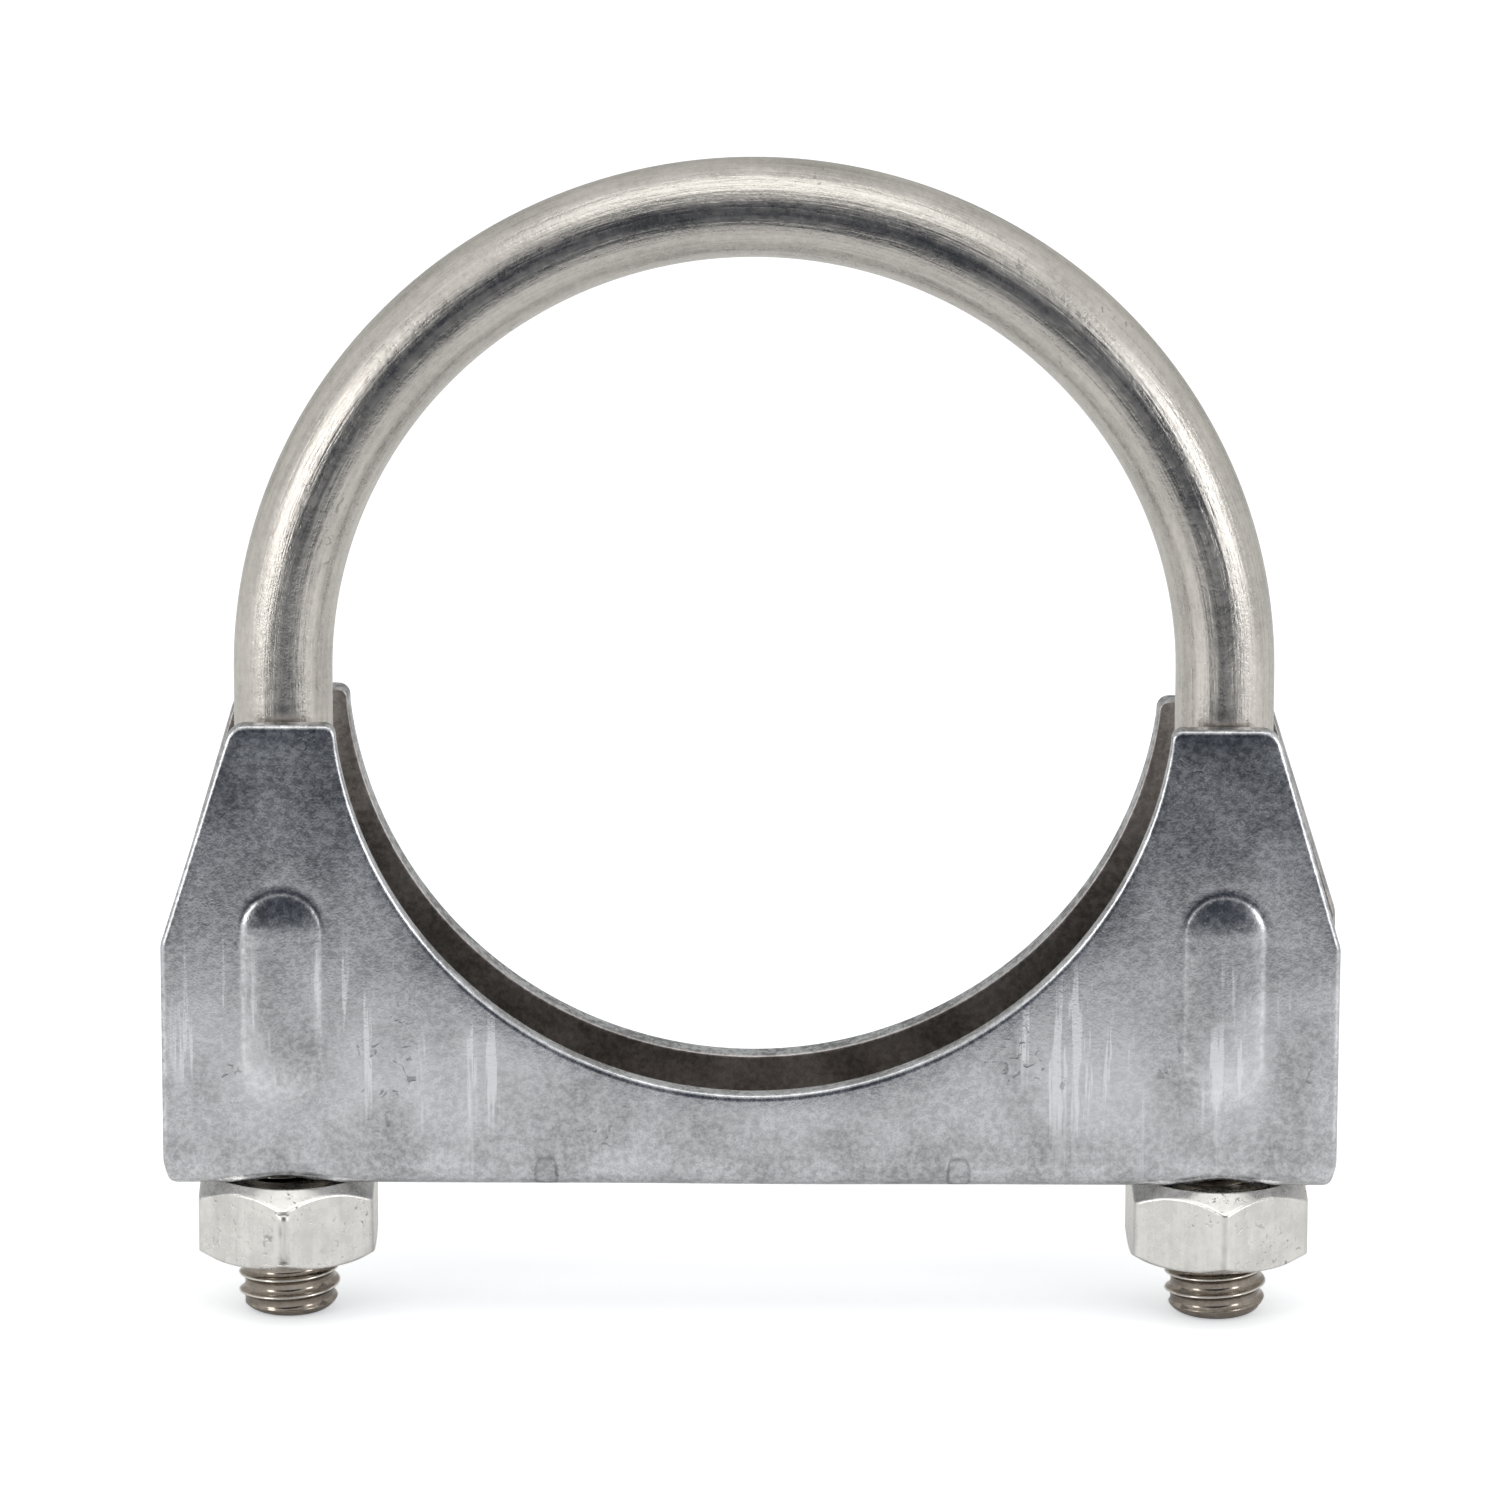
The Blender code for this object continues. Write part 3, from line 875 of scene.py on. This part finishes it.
def scaled(tree, vector, scale):
    node = add_node(
        tree, "ShaderNodeVectorMath", {0: vector, 1: scale}, operation="MULTIPLY"
    )
    return node.outputs[0]


def noise(tree, vector, scale, detail=3.0, roughness=0.55, distortion=0.0):
    node = add_node(tree, "ShaderNodeTexNoise", {
        "Vector": vector, "Scale": scale, "Detail": detail, "Roughness": roughness,
        "Distortion": distortion,
    })
    return Term(tree, node.outputs[0])


def grain_group():
    """Fine speckle over soft blotches, as pickled or tumbled metal has."""
    tree, term, out = new_group("metal_grain", "ShaderNodeTree", [
        ("Vector", VECTOR, None), ("Speckle Scale", FLOAT, 1800.0), ("Blotch Scale", FLOAT, 90.0),
        ("Blotch Share", FLOAT, 0.4),
    ], [("Value", FLOAT), ("Height", FLOAT)])
    fine = noise(tree, term["Vector"], term["Speckle Scale"], 2.0, 0.6)
    coarse = noise(tree, term["Vector"], term["Speckle Scale"] * 0.33, 2.0, 0.6)
    blotch = noise(tree, term["Vector"], term["Blotch Scale"], 4.0, 0.6)
    speckle = (fine * 0.4 + coarse * 0.6).remap(0.40, 0.60, 0.0, 1.0)
    value = speckle * (1.0 - term["Blotch Share"]) + blotch.remap(
        0.38, 0.62, 0.0, 1.0) * term["Blotch Share"]
    feed(tree, out.inputs["Value"], value)
    feed(tree, out.inputs["Height"], speckle)
    return tree


def scratch_group():
    """Sparse fine scratches that run mostly one way. The vector is already stretched along them."""
    tree, term, out = new_group("fine_scratches", "ShaderNodeTree", [
        ("Vector", VECTOR, None), ("Scale", FLOAT, 900.0), ("Amount", FLOAT, 0.5),
    ], [("Mask", FLOAT), ("Lines", FLOAT)])
    lines = noise(tree, term["Vector"], term["Scale"], 4.0, 0.7)
    mask = lines.remap(0.62 - term["Amount"] * 0.1, 0.66, 0.0, 1.0)
    feed(tree, out.inputs["Mask"], mask)
    feed(tree, out.inputs["Lines"], lines.remap(0.3, 0.7, 0.0, 1.0))
    return tree


def nick_group():
    """Small dark dents in clusters."""
    tree, term, out = new_group("small_nicks", "ShaderNodeTree", [
        ("Vector", VECTOR, None), ("Scale", FLOAT, 700.0), ("Amount", FLOAT, 0.5),
    ], [("Mask", FLOAT)])
    spots = noise(tree, term["Vector"], term["Scale"], 2.0, 0.5, 1.2)
    where = noise(tree, term["Vector"], term["Scale"] * 0.14, 2.0, 0.5)
    mask = spots.remap(0.62, 0.67, 0.0, 1.0) * where.remap(
        0.62 - term["Amount"] * 0.2, 0.66, 0.0, 1.0)
    feed(tree, out.inputs["Mask"], mask)
    return tree


def make_groups():
    return {"grain": grain_group(), "scratches": scratch_group(), "nicks": nick_group()}


PATTERN_VALUES = {
    "grain": ("Speckle Scale", "Blotch Scale", "Blotch Share"),
    "scratches": ("Scale", "Amount"),
    "nicks": ("Scale", "Amount"),
}


def pattern(tree, groups, name, vector, *values):
    """A shared group with a finish's own values. Returns its outputs as terms by name."""
    inputs = dict(zip(PATTERN_VALUES[name], values), Vector=vector)
    node = use_group(tree, groups[name], "ShaderNodeGroup", inputs)
    return {output.name: Term(tree, output) for output in node.outputs}


def parts_of(tree, vector):
    """The three numbers of a vector as terms."""
    node = add_node(tree, "ShaderNodeSeparateXYZ", {0: vector})
    return [Term(tree, output) for output in node.outputs]


def new_material(name):
    material = bpy.data.materials.new(name)
    material.use_nodes = True
    tree = material.node_tree
    return material, tree, tree.nodes["Principled BSDF"]


def mix_colour(tree, share, first, second):
    """Mixes two colours. Each is four numbers or a colour socket."""
    node = add_node(
        tree, "ShaderNodeMix", {0: share, 6: first, 7: second}, data_type="RGBA"
    )
    return node.outputs[2]


def shade(tint, factor):
    return (*(min(1.0, channel * factor) for channel in tint), 1.0)


def bump(tree, shader, height, strength, distance):
    node = add_node(tree, "ShaderNodeBump", {
        "Height": height, "Strength": strength, "Distance": distance,
    })
    feed(tree, shader.inputs["Normal"], node.outputs[0])


def dress_metal(tree, shader, body, roughness):
    feed(tree, shader.inputs["Base Color"], body)
    shader.inputs["Metallic"].default_value = 1.0
    feed(tree, shader.inputs["Roughness"], roughness)


# Inside of the folded sheet, darker as painted shade between the plates
INNER_DARK, INNER_PALE = (0.27, 0.25, 0.235, 1.0), (0.60, 0.56, 0.535, 1.0)


def sheet_finish(tint, groups):
    """Dull pickled sheet with speckle, upright scuffs and bright sheared edges, and painted shade
    along the pad and dart rims and on the inner faces.
    """
    material, tree, shader = new_material("pickled_sheet")
    place_at = texture_place(tree)
    grain = pattern(tree, groups, "grain", place_at, 4600.0, 150.0, 0.45)
    nicks = pattern(tree, groups, "nicks", place_at, 900.0, 0.2)["Mask"]
    lying = attribute(tree, "lying")
    scuffs = pattern(tree, groups, "scratches", scaled(tree, lying, (1.0, 0.05, 0.0)), 700.0, 0.6)
    x, s, depth = parts_of(tree, lying)
    out_x, out_s = x.apply("ABSOLUTE"), s.apply("ABSOLUTE")
    # Scuffs lie in patches on the lower plates, away from the middle, and fade upwards
    where = noise(tree, scaled(tree, lying, (1.0, 0.4, 0.0)), 90.0, 2.0, 0.5)
    where = where.remap(0.44, 0.56, 0.0, 1.0) * out_x.remap(0.018, 0.026, 0.15, 1.0)
    where = where * out_s.remap(0.010, 0.017, 0.2, 1.0) * out_s.remap(0.024, 0.034, 1.0, 0.0)
    taper = out_s.remap(0.014, 0.034, 0.55, 0.0)
    scuffed = scuffs["Lines"].remap(0.62, 0.8, taper, 1.0) * where
    scuffed = (scuffed + scuffs["Mask"] * where).apply("MINIMUM", 1.0)
    torn = Term(tree, attribute(tree, "cut_edge", "Fac"))
    crease = Term(tree, attribute(tree, "crease", "Fac"))
    inner = depth.remap(0.85, 1.0, 0.0, 1.0)
    value = grain["Value"]
    body = mix_colour(tree, value, shade(tint, 0.58), shade(tint, 1.28))
    # Painted shade: darkens the sheet along the rims of the pads and darts
    body = mix_colour(tree, crease * 0.42, body, shade(tint, 0.30))
    body = mix_colour(tree, scuffed * 0.7, body, shade(tint, 1.55))
    body = mix_colour(tree, nicks * 0.6, body, shade(tint, 0.35))
    body = mix_colour(tree, torn * 0.8, body, mix_colour(
        tree, value.remap(0.3, 0.7, 0.0, 1.0), shade(tint, 0.22), shade(tint, 0.95)))
    # Painted shade: the inner faces between the plates take darker colours
    body = mix_colour(tree, inner, body, mix_colour(tree, value, INNER_DARK, INNER_PALE))
    roughness = value.remap(0.0, 1.0, 0.20, 0.30) - scuffed * 0.06 + torn * 0.1 + inner * 0.12
    dress_metal(tree, shader, body, roughness)
    bump(tree, shader, grain["Height"] - nicks * 2.0 + scuffed * 0.5, 0.16, 0.00003)
    return material


# Cut metal of the threads, darker partly from dirt and partly as painted shade, with a painted
# highlight on the crests. Above the run-out the rod is plain; at a leg's end the crest highlights fade
CUT_DARK, CUT_PALE = (0.25, 0.215, 0.18, 1.0), (0.42, 0.375, 0.325, 1.0)
RUN_OUT_FADE = (0.0350, 0.0362)
END_FADE = (0.0006, 0.0016)


def rod_finish(tint, groups):
    """Satin drawn rod with fine lines along it."""
    material, tree, shader = new_material("satin_rod")
    along = attribute(tree, "along")
    drawn = pattern(
        tree, groups, "scratches", scaled(tree, along, (0.035, 1.0, 1.0)), 1500.0, 0.6)["Lines"]
    place_at = texture_place(tree)
    value = pattern(tree, groups, "grain", place_at, 4200.0, 130.0, 0.5)["Value"]
    nicks = pattern(tree, groups, "nicks", place_at, 1100.0, 0.1)["Mask"]
    height = parts_of(tree, along)[0]
    plain = height.remap(*RUN_OUT_FADE, 0.0, 1.0)
    body = mix_colour(tree, value * 0.5 + drawn * 0.5, shade(tint, 0.66), shade(tint, 1.2))
    body = mix_colour(tree, nicks * 0.6, body, shade(tint, 0.4))
    share = parts_of(tree, attribute(tree, "crest"))[0]
    # Painted highlight: the thread's crests are lightened
    crest = share.remap(0.70, 0.95, 0.0, 1.0) * height.remap(*END_FADE, 0.0, 1.0)
    # Thread colour: partly dirt, partly painted shade
    cut = mix_colour(tree, value, CUT_DARK, CUT_PALE)
    cut = mix_colour(tree, crest, cut, shade(tint, 1.3))
    body = mix_colour(tree, plain, cut, body)
    roughness = (drawn * 0.12 + value * 0.10) * plain + plain * 0.04 + 0.15
    dress_metal(tree, shader, body, roughness)
    bump(tree, shader, (drawn + value * 0.8) * plain, 0.5, 0.00006)
    return material


def nut_finish(tint, groups):
    """Bright pressed nut with faint upright marks and small dents."""
    material, tree, shader = new_material("bright_nut")
    stretched = scaled(tree, attribute(tree, "along"), (0.05, 1.0, 1.0))
    drawn = pattern(tree, groups, "scratches", stretched, 900.0, 0.5)["Lines"]
    place_at = texture_place(tree)
    value = pattern(tree, groups, "grain", place_at, 1900.0, 260.0, 0.6)["Value"]
    nicks = pattern(tree, groups, "nicks", place_at, 1500.0, 0.85)["Mask"]
    dents = nicks.apply("MAXIMUM", parts_of(tree, attribute(tree, "worn"))[0])
    body = mix_colour(tree, value * 0.6 + drawn * 0.4, shade(tint, 0.8), shade(tint, 1.1))
    body = mix_colour(tree, dents * 0.8, body, shade(tint, 0.28))
    dress_metal(tree, shader, body, value * 0.10 + drawn * 0.06 + 0.2 + dents * 0.2)
    bump(tree, shader, value * 0.5 + drawn * 0.3 - dents * 2.0, 0.3, 0.00006)
    return material


# Operators

class CLAMP_OT_rod(bpy.types.Operator):
    """Makes the bent rod with its two threaded legs"""
    bl_idname = "clamp.rod"
    bl_label = "Bent rod"

    def execute(self, context):
        clamp = context.scene.pipe_clamp
        rod, thread = clamp.rod, clamp.thread
        finish = rod_finish(rod.tint, shared_groups())
        group = bent_rod_group(shared_thread(), THREAD_STEPS)
        obj = grow("bent_rod", group, {**sizes_of(rod, thread), "Material": finish})
        hand_over(obj, "u_bolt", "u_bolt")
        return {"FINISHED"}


class CLAMP_OT_saddle(bpy.types.Operator):
    """Makes the saddle from one blank with pressed pads and folded sides"""
    bl_idname = "clamp.saddle"
    bl_label = "Folded saddle"

    def execute(self, context):
        saddle = context.scene.pipe_clamp.saddle
        obj = place("folded_saddle", saddle_mesh(saddle))
        obj.data.materials.append(sheet_finish(saddle.tint, shared_groups()))
        hand_over(obj, "saddle", "saddle")
        return {"FINISHED"}


# Name, side, turn of a corner in degrees, depth of its wear, and seed of each nut
NUTS = (
    ("left", -1.0, -90.0, 0.26 * MM, 3.0),
    ("right", 1.0, -87.5, 0.05 * MM, 8.0),
)


class CLAMP_OT_nuts(bpy.types.Operator):
    """Makes the two hex nuts with their threaded bores"""
    bl_idname = "clamp.nuts"
    bl_label = "Hex nuts"

    def execute(self, context):
        clamp = context.scene.pipe_clamp
        nut, thread = clamp.nut, clamp.thread
        finish = nut_finish(nut.tint, shared_groups())
        group = nut_group(shared_thread(), THREAD_STEPS)
        for label, side, corner, wear, seed in NUTS:
            start = thread.left_start if side < 0 else thread.right_start
            obj = grow("hex_nut_" + label, group, {
                **sizes_of(clamp.rod, thread, nut), "Side": side, "Seed": seed, "Start": start,
                "Corner Turn": math.radians(corner), "Corner Wear": wear, "Material": finish,
                "Crest Radius": thread.crest + thread.clearance,
                "Root Radius": thread.root + thread.clearance,
            })
            hand_over(obj, "nut_" + label, "nut_" + label)
        return {"FINISHED"}


class CLAMP_OT_stage(bpy.types.Operator):
    """Makes the floor, the studio light and the camera"""
    bl_idname = "clamp.stage"
    bl_label = "Stage"

    def execute(self, context):
        make_floor()
        make_world(context.scene)
        for label, place_at, width, height, power, tint in LAMPS:
            make_lamp(label, place_at, width, height, power, tint)
        make_camera(context.scene)
        return {"FINISHED"}


_shared = {}


def shared_groups():
    if "shader" not in _shared:
        _shared["shader"] = make_groups()
    return _shared["shader"]


def shared_thread():
    if "thread" not in _shared:
        _shared["thread"] = thread_radius_group()
    return _shared["thread"]


# Stage

# Name, place, width, height, power and colour of each lamp
LAMPS = (
    ("softbox_left", (-0.54, -0.44, 0.17), 0.20, 0.34, 0.7, (1.0, 0.99, 0.97)),
    ("softbox_right", (0.54, -0.44, 0.17), 0.20, 0.34, 0.7, (0.98, 0.99, 1.0)),
    ("softbox_top", (0.0, -0.36, 0.93), 1.10, 0.34, 1.7, (1.0, 1.0, 0.98)),
)
AIM = Vector((0.0, 0.0, 0.05))
# The floor's colour is painted lit from here on, with painted shade before it: metal that faces the
# camera mirrors a dim room before it
LIT_FLOOR = (-0.19, -0.13)
# The dim room spreads sideways by this much for each metre, and fades over these metres
DIM_SPREAD = 0.84
DIM_SIDES = (-0.03, 0.06)
FLOOR_HALF = 4.0
FLOOR_DIM, FLOOR_PALE = (0.04, 0.05, 0.072, 1.0), (0.95, 0.95, 0.955, 1.0)
FLOOR_GLOW, FLOOR_GLOW_POWER = (0.94, 0.97, 1.0, 1.0), 0.46
# Colours of the room: over and round the piece, behind it, behind the camera, and as seen
ROOM_PALE, ROOM_BACK = (0.76, 0.76, 0.75, 1.0), (0.55, 0.55, 0.53, 1.0)
ROOM_DIM, ROOM_SEEN = (0.048, 0.054, 0.075, 1.0), (1.0, 1.0, 1.0, 1.0)
DIM_FADE, BACK_FADE = (0.74, 0.90), (0.2, 0.85)


def make_floor():
    half = FLOOR_HALF
    mesh = bpy.data.meshes.new("floor")
    corners = [(-half, -half, 0.0), (half, -half, 0.0), (half, half, 0.0), (-half, half, 0.0)]
    mesh.from_pydata(corners, [], [(0, 1, 2, 3)])
    floor = place("floor", mesh)
    material, tree, shader = new_material("pale_floor")
    x, y, _ = parts_of(tree, texture_place(tree))
    lit = y.remap(*LIT_FLOOR, 0.0, 1.0, "SMOOTHSTEP")
    aside = x.apply("ABSOLUTE") + y * DIM_SPREAD
    lit = lit.apply("MAXIMUM", aside.remap(*DIM_SIDES, 0.0, 1.0, "SMOOTHSTEP"))
    seen = Term(tree, add_node(tree, "ShaderNodeLightPath").outputs["Is Camera Ray"])
    # Painted light and shade: rays other than the camera's see the floor dim before and beside the
    # painted lit part
    feed(tree, shader.inputs["Base Color"], mix_colour(
        tree, lit.apply("MAXIMUM", seen), FLOOR_DIM, FLOOR_PALE))
    shader.inputs["Roughness"].default_value = 0.6
    shader.inputs["Specular IOR Level"].default_value = 0.2
    shader.inputs["Emission Color"].default_value = FLOOR_GLOW
    feed(tree, shader.inputs["Emission Strength"], seen * FLOOR_GLOW_POWER)
    mesh.materials.append(material)


def make_world(scene):
    """A pale room with a dim side behind the camera, so that round metal shows a dark core."""
    world = bpy.data.worlds.new("studio")
    world.use_nodes = True
    tree = world.node_tree
    background = tree.nodes["Background"]
    way = parts_of(tree, add_node(tree, "ShaderNodeTexCoord").outputs["Generated"])[1]
    seen = Term(tree, add_node(tree, "ShaderNodeLightPath").outputs["Is Camera Ray"])
    dim = (way * -1.0).remap(*DIM_FADE, 0.0, 1.0, "SMOOTHSTEP")
    sky = mix_colour(tree, way.remap(*BACK_FADE, 0.0, 1.0, "SMOOTHSTEP"), ROOM_PALE, ROOM_BACK)
    sky = mix_colour(tree, dim, sky, ROOM_DIM)
    sky = mix_colour(tree, seen, sky, ROOM_SEEN)
    feed(tree, background.inputs["Color"], sky)
    background.inputs["Strength"].default_value = 1.0
    scene.world = world


def make_lamp(label, place_at, width, height, power, tint):
    light = bpy.data.lights.new(label, "AREA")
    light.shape = "RECTANGLE"
    light.size, light.size_y = width, height
    light.energy = power
    light.color = tint
    lamp = bpy.data.objects.new(label, light)
    lamp.location = place_at
    lamp.visible_camera = False
    lamp.rotation_mode = "QUATERNION"
    lamp.rotation_quaternion = (AIM - Vector(place_at)).to_track_quat("-Z", "Y")
    bpy.context.scene.collection.objects.link(lamp)


CAMERA_TARGET = Vector((-0.36, 0.0, 56.2)) * MM
CAMERA_DISTANCE = 811.0 * MM
CAMERA_AZIMUTH = math.radians(0.144)
CAMERA_ELEVATION = math.radians(13.9)
CAMERA_ROLL = math.radians(0.162)
CAMERA_LENS, CAMERA_SENSOR = 202.09, 36.0


def make_camera(scene):
    a, e = CAMERA_AZIMUTH, CAMERA_ELEVATION
    back = Vector((math.sin(a) * math.cos(e), -math.cos(a) * math.cos(e), math.sin(e)))
    right = Vector((math.cos(a), math.sin(a), 0.0))
    up = back.cross(right)
    turned = right * math.cos(CAMERA_ROLL) + up * math.sin(CAMERA_ROLL)
    upright = up * math.cos(CAMERA_ROLL) - right * math.sin(CAMERA_ROLL)
    data = bpy.data.cameras.new("camera")
    data.lens = CAMERA_LENS
    data.sensor_width = CAMERA_SENSOR
    data.clip_start, data.clip_end = 0.01, 20.0
    camera = bpy.data.objects.new("camera", data)
    scene.collection.objects.link(camera)
    turn = Matrix((turned, upright, back)).transposed().to_4x4()
    camera.matrix_world = Matrix.Translation(CAMERA_TARGET + back * CAMERA_DISTANCE) @ turn
    scene.camera = camera
    scene.view_settings.view_transform = "Standard"


class CLAMP_PT_panel(bpy.types.Panel):
    """Lists the clamp's pieces"""
    bl_idname = "CLAMP_PT_panel"
    bl_label = "Pipe Clamp"
    bl_space_type = "VIEW_3D"
    bl_region_type = "UI"
    bl_category = "Clamp"

    def draw(self, context):
        clamp = context.scene.pipe_clamp
        for title, operator, settings in (
            ("Bent rod", CLAMP_OT_rod.bl_idname, (clamp.rod, clamp.thread)),
            ("Saddle", CLAMP_OT_saddle.bl_idname, (clamp.saddle,)),
            ("Nuts", CLAMP_OT_nuts.bl_idname, (clamp.nut,)),
            ("Stage", CLAMP_OT_stage.bl_idname, ()),
        ):
            box = self.layout.box()
            box.label(text=title)
            for group in settings:
                for key in group.bl_rna.properties.keys():
                    if key not in ("rna_type", "name"):
                        box.prop(group, key)
            box.operator(operator)


CLASSES = (
    ThreadSettings, RodSettings, SaddleSettings, NutSettings, ClampSettings,
    CLAMP_OT_rod, CLAMP_OT_saddle, CLAMP_OT_nuts, CLAMP_OT_stage, CLAMP_PT_panel,
)


def register():
    for cls in CLASSES:
        bpy.utils.register_class(cls)
    bpy.types.Scene.pipe_clamp = PointerProperty(type=ClampSettings)


def unregister():
    del bpy.types.Scene.pipe_clamp
    for cls in reversed(CLASSES):
        bpy.utils.unregister_class(cls)


def main():
    register()
    bpy.ops.clamp.rod()
    bpy.ops.clamp.saddle()
    bpy.ops.clamp.nuts()
    bpy.ops.clamp.stage()


if __name__ == "__main__":
    main()
